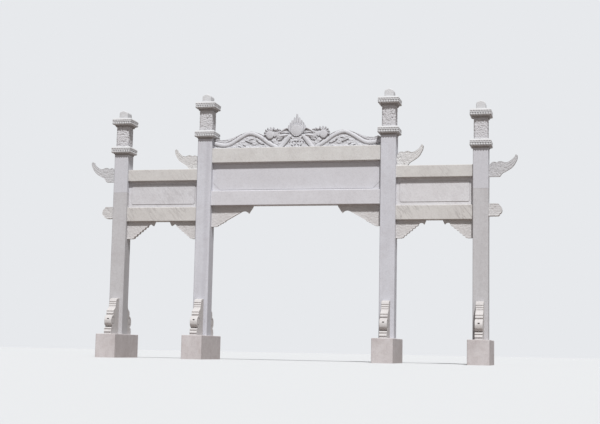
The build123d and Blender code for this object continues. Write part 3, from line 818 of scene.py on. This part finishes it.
def scroll_shape(centre_x, face, reach, foot, height, side):
    """A scroll stone: its side outline between two flat sides, a hole in the roll, rings beside it."""
    line = np.array(SCROLL_FRONT) * (height, reach)
    roll_y = SCROLL_ROLL_PLACE * reach - SCROLL_ROLL_RADIUS
    near_hole = HOLE_HEIGHT + HOLE_RADII[1] * np.linspace(-HOLE_MARGIN, HOLE_MARGIN, HOLE_ROWS)
    up = np.unique(np.concatenate((line[:, 0], np.linspace(0, height, SCROLL_ROWS), near_hole)))
    off = np.clip((up - SCROLL_ROLL_HEIGHT) / SCROLL_ROLL_RADIUS, -1, 1)
    power = np.where(off < 0, *SCROLL_ROLL_POWERS)
    bulge = SCROLL_ROLL_RADIUS * (1 - np.abs(off) ** power) ** (1 / power)
    roll = np.where(np.abs(off) < 1, roll_y + bulge, 0)
    front = np.maximum(np.interp(up, line[:, 0], line[:, 1]), roll)[:, None]
    half = SCROLL_WIDTH / 2
    corner = np.minimum(SCROLL_CORNER, front / 2)
    root_share = np.linspace(0, SCROLL_ROOT, ROOT_COLUMNS, endpoint=False)
    share = np.concatenate((root_share, np.linspace(SCROLL_ROOT, 1, SIDE_COLUMNS)))
    turn = np.linspace(0, math.pi / 2, 4)[1:]
    flat_x = np.full((len(up), len(share)), -half)
    side_x = np.concatenate((flat_x, -half + corner * (1 - np.cos(turn))), 1)
    side_y = np.concatenate(((front - corner) * share, front - corner * (1 - np.sin(turn))), 1)
    front_x = np.linspace(-1, 1, FRONT_COLUMNS)[1:-1] * (half - corner)
    front_y = np.repeat(front, FRONT_COLUMNS - 2, 1)
    x = np.concatenate((side_x, front_x, -side_x[:, ::-1]), 1)
    y = np.concatenate((side_y, front_y, side_y[:, ::-1]), 1)
    z = np.repeat(up[:, None], x.shape[1], 1)
    hole = np.sqrt(dome(x, z, (0, HOLE_HEIGHT), HOLE_RADII)) * (y > front - corner)
    away = np.abs(np.hypot(y - roll_y, z - SCROLL_ROLL_HEIGHT) - RING_RADIUS) / RING_HALF_WIDTH
    ring = np.clip(1 - away**2, 0, 1) * (y < front - corner)
    x = x - np.sign(x) * RING_DEPTH * ring
    y = y - HOLE_DEPTH * hole
    points = np.stack((centre_x + x, side * (face + y), foot + z), -1)
    low_middle = np.array([centre_x, side * (face + reach / 2), foot])
    high_middle = np.array([centre_x, side * face, foot + height])
    ends = [np.tile(middle, (1, x.shape[1], 1)) for middle in (low_middle, high_middle)]
    points = np.concatenate((ends[0], points, ends[1]))
    # Painted shade in the hole and the ring
    hollow = np.pad(np.maximum(hole, RING_SHADE * ring), ((1, 1), (0, 0)))
    faces = skin(len(up) + 2, x.shape[1], closed=True)
    if side > 0:
        faces = faces[:, ::-1]
    return points.reshape(-1, 3), faces, hollow.reshape(-1)


def dress_scroll_stones():
    """The scroll stones in front of and behind the four columns."""
    for place in PLACES:
        column_low, column_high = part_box(f"column_{place}")
        face = (column_high.x - column_low.x) / 2
        node = f"scroll_stones_{place}"
        low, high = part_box(node)
        centre_x = (low.x + high.x) / 2
        reach, height = high.y - face, high.z - low.z
        stones_pair = [scroll_shape(centre_x, face, reach, low.z, height, side) for side in (-1, 1)]
        add_piece(f"carved_{node}", join(stones_pair), "scroll", node)


# Flat carved pieces: an under line and an upper line, both faces carved alike


def plate_shape(x_line, low, high, rows, carve, place, sign=1):
    """Both faces of a plate and the rim between them. Carve gives the half depth and the hollow."""
    share = np.linspace(0, 1, rows)
    x = np.repeat(x_line[:, None], rows, 1)
    z = low[:, None] + (high - low)[:, None] * share
    depth, hollow = carve(x, z, np.repeat(share[None, :], len(x_line), 0))
    front = np.stack((place[0] + sign * x, -depth, place[1] + z), -1).reshape(-1, 3)
    back = front * (1, -1, 1)
    index = np.arange(len(front)).reshape(x.shape)
    face = np.stack((index[:-1, :-1], index[1:, :-1], index[1:, 1:], index[:-1, 1:]), -1).reshape(-1, 4)
    border = np.concatenate((index[:, 0], index[-1, 1:], index[-2::-1, -1], index[0, -2:0:-1]))
    after = np.roll(border, -1)
    rim = np.stack((after, border, border + len(front), after + len(front)), -1)
    faces = np.concatenate((face, face[:, ::-1] + len(front), rim))
    if sign < 0:
        faces = faces[:, ::-1]
    return np.concatenate((front, back)), faces, np.concatenate((hollow.reshape(-1), hollow.reshape(-1)))


def levels(line, x):
    """Heights of a line of points at the given places."""
    return np.interp(x, line[:, 0], line[:, 1])


def bend(start, middle, end, steps=10):
    """A curve from start to end that passes through the middle point."""
    start, middle, end = (np.asarray(point, float) for point in (start, middle, end))
    pull = 2 * middle - (start + end) / 2
    share = np.linspace(0, 1, steps)[:, None]
    return start * (1 - share) ** 2 + 2 * pull * share * (1 - share) + end * share**2


# Grid of the flat pieces, and the turns of their curls: a loose coil and a tighter one
PLATE_CELL = 0.010
LOOSE_TURNS = 1.1
TIGHT_TURNS = 1.2

# Ears, metres. The roots are distances from the middle of the gate
EAR_ROOT = {"ears_inner": 3.021, "ears_outer": 5.689}
EAR_HEIGHT = 0.625
EAR_FOOT = 0.317
EAR_ROWS = 39
EAR_HALF_DEPTH = 0.060
EAR_CURL = 0.062
EAR_CARVING = 0.012
# Dirt and painted shade in the hollows: most and fall
EAR_DIRT_AND_SHADE = (0.9, 1.6)
EAR_KNOB_RADII = (0.055, 0.040)

# Outline of an ear: shares of its reach and of its height
EAR_KINK = ((0.060, 0.120), (0.115, 0.190))
EAR_SWEEP = ((0.590, 0.240), (0.820, 0.440), (0.965, 0.730), (1.000, 0.930))
EAR_ROOT_TOP = (0.000, 0.490)
EAR_SHOULDER = ((0.080, 0.630), (0.170, 0.680), (0.275, 0.640))
EAR_HUMP = ((0.275, 0.640), (0.400, 0.705), (0.560, 0.630))
EAR_BACK = ((0.560, 0.630), (0.690, 0.680), (0.820, 0.800), (0.900, 0.905))
EAR_TIP = ((0.905, 0.960), (0.950, 1.000), (1.000, 0.935))
EAR_KNOB = (0.945, 0.955)


def ear_lines(reach):
    """Under and upper line of an ear, as in the CAD."""
    scale = np.array((reach, EAR_HEIGHT))
    foot = np.array((EAR_FOOT, 0))
    middle, kink = foot + EAR_KINK * scale
    sweep = smooth_line((kink, *(EAR_SWEEP * scale)))
    under = np.vstack(([(0, 0)], bend(foot, middle, kink), sweep))
    shoulder, hump, tip = (bend(*(part * scale)) for part in (EAR_SHOULDER, EAR_HUMP, EAR_TIP))
    back = smooth_line(EAR_BACK * scale)
    upper = np.vstack((EAR_ROOT_TOP * scale, shoulder, hump, back, tip))
    return under, upper


def ear_carver(reach, seed):
    """Soft scrolls on the root of an ear, a faint sweep to its tip, and a raised edge."""
    curls = scatter((0.02, 0.02), (reach, 0.85 * EAR_HEIGHT), EAR_CURL, seed)
    knob_place = EAR_KNOB * np.array((reach, EAR_HEIGHT))

    def carve(x, z, share):
        relief = curl_field(x, z, curls, LOOSE_TURNS)
        sweep = 0.7 + 0.3 * np.cos(2 * math.pi * 3 * (share - 0.5))
        toward_tip = np.clip((x / reach - 0.55) / 0.2, 0, 1)
        relief = relief * (1 - 0.7 * toward_tip) + 0.7 * sweep * toward_tip
        rim = np.clip(1.3 - np.minimum(share, 1 - share) / 0.05, 0, 1)
        relief = np.maximum(relief, rim)
        knob = dome(x, z, knob_place, EAR_KNOB_RADII)
        depth = EAR_HALF_DEPTH - EAR_CARVING * (1 - np.maximum(relief, knob))
        # Dirt and painted shade in the low parts of the relief
        return depth, dirt_and_shade_below(relief, *EAR_DIRT_AND_SHADE)

    return carve


def dress_ears():
    """Both pairs of ears."""
    for node, seed, material in (("ears_inner", 31, "ear_inner"), ("ears_outer", 32, "ear_outer")):
        low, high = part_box(node)
        root = EAR_ROOT[node]
        reach = high.x - root
        x_line = np.linspace(0, reach, round(reach / PLATE_CELL))
        under, upper = (levels(line, x_line) for line in ear_lines(reach))
        carve = ear_carver(reach, seed)
        shapes = [
            plate_shape(x_line, under, upper, EAR_ROWS, carve, (sign * root, low.z), sign)
            for sign in (-1, 1)
        ]
        add_piece(f"carved_{node}", join(shapes), material, node)


# Brackets: reach, drop, foot, scallops, end of the slope, scalloped share, cusp, as in the CAD
MIDDLE_BRACKET = (1.298, 0.630, 0.143, 4, (0.72, 0.29), 0.38, (0.885, 0.38))
SIDE_BRACKET = (0.872, 0.530, 0.162, 6, (0.79, 0.17), 0.94, (0.935, 0.25))
SCALLOP_POWER = 2.65
FIRST_SCALLOP = 0.985
SCALLOP_WIDTH = 0.999
BRACKET_CURL = 0.110
BRACKET_WAVE = 0.042
BRACKET_EDGE = 0.024
BRACKET_CARVING = 0.011
# Dirt and painted shade in the hollows: most and fall
BRACKET_DIRT_AND_SHADE = (0.7, 1.4)


def bracket_under_line(reach, drop, foot, scallops, slope_end, scallop_end, cusp):
    """Under line of a bracket, from the column to its tip."""
    end = (slope_end[0] * reach, -slope_end[1] * drop)
    cusp_point = (cusp[0] * reach, -cusp[1] * drop)
    first = -FIRST_SCALLOP * drop
    run = (end[0] - foot) * scallop_end / scallops
    rise = (end[1] - first) * scallop_end / scallops
    share = np.linspace(0, 1, 9)
    round_up = 1 - (1 - share**SCALLOP_POWER) ** (1 / SCALLOP_POWER)
    parts = [np.array([(0, -drop), (foot - 0.001, -drop)])]
    for step in range(scallops):
        scallop_x = foot + (step + share * SCALLOP_WIDTH) * run
        scallop_z = first + (step + round_up) * rise
        parts.append(np.stack((scallop_x, scallop_z), -1))
    shelf_middle = (0.45 * end[0] + 0.55 * cusp_point[0], 0.94 * end[1])
    tip_middle = (0.38 * cusp_point[0] + 0.62 * reach, 0.42 * cusp_point[1])
    shelf = bend(end, shelf_middle, cusp_point)
    tip = bend(cusp_point, tip_middle, (reach, 0))
    return np.vstack(parts + [shelf, tip])


def bracket_carver(half_depth, reach, drop, seed):
    """Curls along the slope under fine waved lines, inside a raised edge."""
    curls = scatter((0.05, -drop + 0.05), (reach, -0.05), BRACKET_CURL, seed)

    def carve(x, z, share):
        relief = 0.25 + 0.65 * curl_field(x, z, curls, TIGHT_TURNS)
        waved = z + 0.012 * np.sin(22 * x)
        waves = 0.5 + 0.5 * np.cos(2 * math.pi * waved / BRACKET_WAVE)
        upper = np.clip((share - 0.45) / 0.2, 0, 1)
        relief = relief * (1 - 0.6 * upper) + 0.6 * waves * upper
        height = -z / np.maximum(1 - share, 1e-6)
        edge = np.clip(1.8 - share * height / BRACKET_EDGE, 0, 1)
        relief = np.maximum(relief, edge)
        depth = half_depth - BRACKET_CARVING * (1 - relief)
        # Dirt and painted shade in the low parts of the relief
        return depth, dirt_and_shade_below(relief, *BRACKET_DIRT_AND_SHADE)

    return carve


def dress_brackets():
    """The three pairs of brackets."""
    for node, values, seed in (
        ("brackets_left", SIDE_BRACKET, 41),
        ("brackets_middle", MIDDLE_BRACKET, 42),
        ("brackets_right", SIDE_BRACKET, 43),
    ):
        low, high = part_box(node)
        reach, drop = values[0], values[1]
        x_line = np.linspace(0, reach, round(reach / PLATE_CELL * 1.4))
        bottom = levels(bracket_under_line(*values), x_line)
        top = np.zeros_like(bottom)
        rows = round(drop / PLATE_CELL)
        carve = bracket_carver(high.y, reach, drop, seed)
        shapes = [
            plate_shape(x_line, bottom, top, rows, carve, (root, high.z), sign)
            for root, sign in ((low.x, 1), (high.x, -1))
        ]
        add_piece(f"carved_{node}", join(shapes), "bracket", node)


# Beam ends: outline in shares of the reach and of half the height, then metres
END_SHOULDER = ((0.700, 1.000), (0.790, 0.860), (0.820, 0.640))
END_NOSE = ((0.821, 0.640), (0.920, 0.520), (0.980, 0.300))
END_ROWS = 44
END_MARGIN = 0.022
END_SLOPE = 0.014
END_CARVING = 0.009
END_CURL = 0.055
END_SEED = 71
# Dirt and painted shade: how fast it grows with the depth of the sunk field
END_DIRT_AND_SHADE = 60.0


def dress_beam_ends():
    """The two rounded beam ends, with a sunk field and a scroll."""
    low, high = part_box("beam_ends")
    reach, height = high.x - EAR_ROOT["ears_outer"], high.z - low.z
    half = height / 2
    scale = np.array((reach, half))
    shoulder, nose = (bend(*(part * scale)) for part in (END_SHOULDER, END_NOSE))
    x_line = np.linspace(0, reach, round(reach / PLATE_CELL * 1.5))
    top = levels(np.vstack(([(0, half)], shoulder, nose, [(reach, 0)])), x_line)
    curls = scatter((0.03, -half), (reach, half), END_CURL, END_SEED)

    def carve(x, z, share):
        edge = np.minimum(np.minimum(share, 1 - share) * 2 * half, 1.3 * (reach - x))
        field = np.clip((edge - END_MARGIN) / END_SLOPE, 0, 1)
        scroll = curl_field(x, z, curls, LOOSE_TURNS)
        sunk = END_CARVING * field * (1 - 0.85 * scroll)
        # Dirt and painted shade where the field is sunk
        return high.y - sunk, np.clip(END_DIRT_AND_SHADE * sunk - 0.05, 0, 1)

    shapes = [
        plate_shape(x_line, -top, top, END_ROWS, carve, (sign * (high.x - reach), low.z + half), sign)
        for sign in (-1, 1)
    ]
    add_piece("carved_beam_ends", join(shapes), "end", "beam_ends")


# Crest. Places are distances from the middle of the gate and heights above the beam
CREST_CELL = 0.0075
DRAGON_ROWS = 80
PEARL_ROWS = 120
JOINT_X = 0.270
TUBE_RADIUS = 0.065
TUBE_DEPTH = 0.062
TUBE_SHADE = 0.022
SCALE_PITCH = 0.055
SCALE_DEPTH = 0.0015
CUT = 0.030
DEEPEST = 0.010
THICKEST = 0.0695
# Dirt and painted shade where the crest lies deeper than the start, full a run deeper
DIRT_AND_SHADE_START = 0.036
DIRT_AND_SHADE_RUN = 0.020
SLAB_LOW = 0.024
SLAB_CARVING = 0.020
BODY_LINE = smooth_line(
    [
        (2.65, 0.203), (2.37, 0.122), (2.163, 0.113), (1.983, 0.176), (1.712, 0.344),
        (1.442, 0.452), (1.133, 0.348), (0.876, 0.163), (0.618, 0.023),
    ]
)
HEAD_TOP = [
    (0.270, 0.588), (0.305, 0.592), (0.345, 0.572), (0.385, 0.606), (0.430, 0.560), (0.475, 0.534),
    (0.520, 0.562), (0.570, 0.590), (0.610, 0.578), (0.660, 0.594), (0.688, 0.560), (0.706, 0.632),
    (0.724, 0.628), (0.752, 0.548), (0.794, 0.636), (0.812, 0.634), (0.840, 0.540), (0.882, 0.620),
    (0.900, 0.612), (0.912, 0.515), (0.956, 0.572), (0.968, 0.560), (0.972, 0.470), (1.002, 0.488),
    (1.006, 0.385),
]
WAVE_TOP = smooth_line(
    [
        (1.008, 0.380), (1.185, 0.458), (1.455, 0.517), (1.777, 0.414), (2.086, 0.300),
        (2.318, 0.269), (2.464, 0.310),
    ]
)
MANE_CENTRE = np.array((0.820, 0.405))
MANE_RADII = (0.120, 0.130)
MANE_WAVE = 0.04
TUFT_TIPS = (
    (0.715, 0.630), (0.803, 0.635), (0.891, 0.616), (0.962, 0.566), (1.002, 0.480), (1.000, 0.400),
)
TUFT_ROOT = 0.4
TUFT_SWAY = np.array((-0.012, 0.008))
TUFT_RADIUS = 0.027
SKULL = (0.53, 0.42)
SKULL_RADII = (0.20, 0.145)
EYE = (0.555, 0.462)
EYE_RADII = (0.022, 0.020)
LEG_LINE = ((0.50, -0.02), (0.36, 0.16), (0.22, 0.34))
LEG_RADIUS = 0.076
LEG_EDGE = ([(0.20, 0.245), (0.30, 0.120), (0.40, 0.010)], 0.013)

# Clouds behind: two corners of their field, their radius and their seed
DRAGON_CLOUDS = ((0.30, 0.02), (2.60, 0.50), 0.115, 51)
PEARL_CLOUDS = ((-0.30, 0.0), (0.30, 0.34), 0.080, 61)

# Dark cuts: a line and half its width. Raised parts: a line, half its width, its foot and its rise
CLOUD_CUTS = (
    ([(1.57, 0.212), (1.48, 0.170), (1.39, 0.145)], 0.022),
    ([(1.235, 0.220), (1.18, 0.157), (1.08, 0.114), (1.00, 0.110)], 0.019),
    ([(1.45, 0.250), (1.34, 0.268)], 0.012),
    ([(1.65, 0.088), (1.58, 0.062)], 0.014),
    ([(1.80, 0.062), (1.72, 0.036)], 0.012),
    ([(0.80, 0.235), (0.74, 0.180), (0.70, 0.120)], 0.012),
)
HEAD_RIDGES = (
    ([(0.29, 0.578), (0.35, 0.570), (0.42, 0.530), (0.50, 0.475)], 0.030, 0.044, 0.024),
    ([(0.50, 0.545), (0.56, 0.555)], 0.034, 0.044, 0.022),
    ([(0.63, 0.555), (0.67, 0.550)], 0.032, 0.044, 0.022),
    ([(0.28, 0.385), (0.38, 0.372), (0.50, 0.350)], 0.030, 0.040, 0.022),
    ([(0.44, 0.268), (0.50, 0.230)], 0.009, 0.030, 0.020),
)
HEAD_CUTS = (
    ([(0.27, 0.425), (0.38, 0.436), (0.50, 0.420)], 0.016),
    ([(0.31, 0.560), (0.27, 0.525)], 0.020),
    ([(0.44, 0.570), (0.50, 0.512)], 0.012),
    ([(0.585, 0.575), (0.60, 0.510)], 0.011),
    ([(0.55, 0.500), (0.62, 0.492), (0.68, 0.505)], 0.010),
    ([(0.62, 0.350), (0.68, 0.300)], 0.013),
    ([(0.57, 0.300), (0.62, 0.235)], 0.011),
)
SLOT = ([(0.40, 0.300), (0.46, 0.240), (0.55, 0.200)], 0.027)


def carve_cuts(depth, x, z, cuts):
    """The depth with dark cuts in it."""
    for line, radius in cuts:
        depth = depth - CUT * ridge(x, z, line, radius)
    return depth


def carve_leg(depth, x, z):
    """A broad foreleg that comes down from beside the pearl, with a dark line along its edge."""
    depth = raised(depth, ridge(x, z, LEG_LINE, LEG_RADIUS), 0.020, 0.038)
    return carve_cuts(depth, x, z, [LEG_EDGE])


def carve_clouds(x, z, clouds, turns):
    """The slab behind the dragons and below the pearl, carved with clouds."""
    return SLAB_LOW + SLAB_CARVING * curl_field(x, z, scatter(*clouds), turns)


def carve_mane(depth, x, z):
    """A smooth ball with a dark arc under it, and tufts that stand out above it."""
    off_x, off_z = x - MANE_CENTRE[0], z - MANE_CENTRE[1]
    reach = np.hypot(off_x / MANE_RADII[0], off_z / MANE_RADII[1])
    angle = np.arctan2(off_z, off_x)
    depth = depth - 0.012 * groove(reach, 1.25, 0.35)
    for tip in np.array(TUFT_TIPS):
        foot = MANE_CENTRE + TUFT_ROOT * (tip - MANE_CENTRE)
        middle = 0.5 * (foot + tip) + TUFT_SWAY
        tuft = ridge(x, z, [foot, middle, tip], TUFT_RADIUS)
        depth = raised(depth, tuft, 0.038, 0.024)
    under = (angle < -0.3) & (angle > -2.8)
    depth = depth - 0.024 * groove(reach, 1.14, 0.14) * under
    combed = 1 + np.cos(2 * math.pi * off_x / MANE_WAVE)
    ball = 0.050 + 0.014 * np.sqrt(np.clip(1 - reach**2, 0, 1)) - 0.002 * combed
    return np.where(reach < 1, ball, depth)


def carve_head(depth, x, z):
    """The head between the mane and the pearl, with brow, horn, jaw, mouth and eye."""
    depth = raised(depth, dome(x, z, SKULL, SKULL_RADII), 0.038, 0.016)
    depth = carve_leg(carve_cuts(depth, x, z, [SLOT]), x, z)
    for line, radius, foot, rise in HEAD_RIDGES:
        depth = raised(depth, ridge(x, z, line, radius), foot, rise)
    depth = carve_cuts(depth, x, z, HEAD_CUTS)
    eye = dome(x, z, EYE, EYE_RADII)
    return np.where(eye > 0, 0.056 + 0.012 * eye, depth)


def finished(depth):
    """The half depth inside its limits, and the dirt and painted shade in what lies deep."""
    depth = np.clip(depth, DEEPEST, THICKEST)
    # Dirt and painted shade where the carving lies deep
    return depth, np.clip((DIRT_AND_SHADE_START - depth) / DIRT_AND_SHADE_RUN, 0, 1)


def carve_dragon(x, z, _share):
    """Half depth of a dragon: clouds, then the body, the mane, the head and the leg over them."""
    depth = carve_clouds(x, z, DRAGON_CLOUDS, TIGHT_TURNS)
    gap, along = distance_to(BODY_LINE, x, z)
    depth = depth - 0.012 * np.clip(1 - (gap - TUBE_RADIUS) / TUBE_SHADE, 0, 1)
    depth = carve_cuts(depth, x, z, CLOUD_CUTS)
    chevrons = 0.5 + 0.5 * np.cos(2 * math.pi * (along - 0.6 * gap) / SCALE_PITCH)
    round_off = np.sqrt(np.clip(1 - (gap / TUBE_RADIUS) ** 3, 0, 1))
    depth = np.maximum(depth, TUBE_DEPTH * round_off - SCALE_DEPTH * chevrons)
    return finished(carve_head(carve_mane(depth, x, z), x, z))


FLAME_TOP = [
    (0.000, 1.018), (0.014, 1.012), (0.030, 0.910), (0.046, 0.840), (0.072, 0.920), (0.084, 0.912),
    (0.098, 0.850), (0.112, 0.785), (0.144, 0.838), (0.156, 0.830), (0.172, 0.726), (0.200, 0.768),
    (0.212, 0.758), (0.226, 0.650), (0.254, 0.686), (0.264, 0.674), (0.270, 0.588),
]
PEARL_CENTRE = (0.0, 0.532)
PEARL_RADII = (0.186, 0.196)
PEARL_RIM = 0.10
LICK_WAVE = 0.080
CLOUDS_TOP = 0.38
PEARL_CUTS = (
    ([(0.270, 0.540), (0.225, 0.465), (0.175, 0.405)], 0.016),
    ([(0.270, 0.425), (0.170, 0.405)], 0.014),
    ([(0.175, 0.290), (0.160, 0.270)], 0.020),
    ([(0.055, 0.185), (0.020, 0.160)], 0.020),
    ([(0.200, 0.165), (0.215, 0.150)], 0.016),
    ([(0.040, 0.080), (0.055, 0.070)], 0.018),
    ([(0.150, 0.070), (0.120, 0.045)], 0.016),
    ([(0.110, 0.175), (0.125, 0.160)], 0.014),
)


def carve_pearl(x, z, _share):
    """Half depth of the middle of the crest: licks of flame, the pearl in its rim, clouds below."""
    off_x, off_z = x - PEARL_CENTRE[0], z - PEARL_CENTRE[1]
    reach = np.hypot(off_x / PEARL_RADII[0], off_z / PEARL_RADII[1])
    side = np.abs(x)
    sway = 0.06 * np.sin(9 * off_z) * np.clip(side, 0, 0.2)
    lean = side * (1 + 0.5 * np.clip(off_z, 0, None)) - sway
    licks = 0.5 + 0.5 * np.cos(2 * math.pi * lean / LICK_WAVE)
    clouds = carve_clouds(x, z, PEARL_CLOUDS, LOOSE_TURNS)
    depth = np.where(z < CLOUDS_TOP, clouds, 0.034 + 0.020 * licks)
    less_above = np.clip((0.45 - z) / 0.06, 0.22, 1)
    depth = depth - 0.030 * groove(reach, 1.06, 0.07) * less_above
    depth = carve_cuts(carve_leg(depth, side, z), side, z, PEARL_CUTS)
    inside = 0.050 + 0.015 * np.sqrt(np.clip(1 - (reach / (1 - PEARL_RIM)) ** 2, 0, 1))
    depth = np.where(reach < 1 - PEARL_RIM, inside, depth)
    off_rim = (reach - 1 + PEARL_RIM / 2) / (PEARL_RIM / 2)
    rim = 0.046 + 0.014 * np.sqrt(np.clip(1 - off_rim**2, 0, 1))
    return finished(np.where(np.abs(off_rim) < 1, rim, depth))


def dress_crest():
    """The two dragons and the flaming pearl."""
    low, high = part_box("crest_right")
    end = high.x
    top_line = np.vstack((HEAD_TOP, WAVE_TOP, [(end, 0.264)]))
    x_line = np.linspace(JOINT_X, end, round((end - JOINT_X) / CREST_CELL))
    top = np.minimum(levels(top_line, x_line), high.z - low.z)
    bottom = np.zeros_like(top)
    for node, sign in (("crest_left", -1), ("crest_right", 1)):
        dragon = plate_shape(x_line, bottom, top, DRAGON_ROWS, carve_dragon, (0, low.z), sign)
        add_piece(f"carved_{node}", dragon, "crest", node)
    x_line = np.linspace(-JOINT_X, JOINT_X, 2 * round(JOINT_X / (0.8 * CREST_CELL)) + 1)
    top = levels(np.array(FLAME_TOP), np.abs(x_line))
    bottom = np.zeros_like(top)
    pearl = plate_shape(x_line, bottom, top, PEARL_ROWS, carve_pearl, (0, low.z))
    add_piece("carved_crest_pearl", pearl, "crest", "crest_pearl")


def finish_nodes():
    """Stone on the CAD pieces that stay as they are."""
    kinds = {f"base_{place}": "base" for place in PLACES}
    kinds |= {f"column_{place}": f"column_{place}" for place in PLACES}
    kinds |= {f"panel_{bay}": f"panel_{bay}" for bay in ("left", "middle", "right")}
    kinds |= {f"beam_{bay}_upper": "beam_faint" for bay in ("left", "right")}
    kinds |= {f"beam_{bay}_lower": "beam_veined" for bay in ("left", "right")}
    kinds |= {"beam_middle_upper": "beam_warm", "beam_middle_lower": "beam_cool"}
    for name, kind in kinds.items():
        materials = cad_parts[name].data.materials
        materials.clear()
        materials.append(stones[kind])


make_camera()
make_light()
make_floor()
stones = make_stones()
dress_heads()
dress_scroll_stones()
dress_ears()
dress_brackets()
dress_beam_ends()
dress_crest()
finish_nodes()

scene.view_settings.view_transform = "Standard"
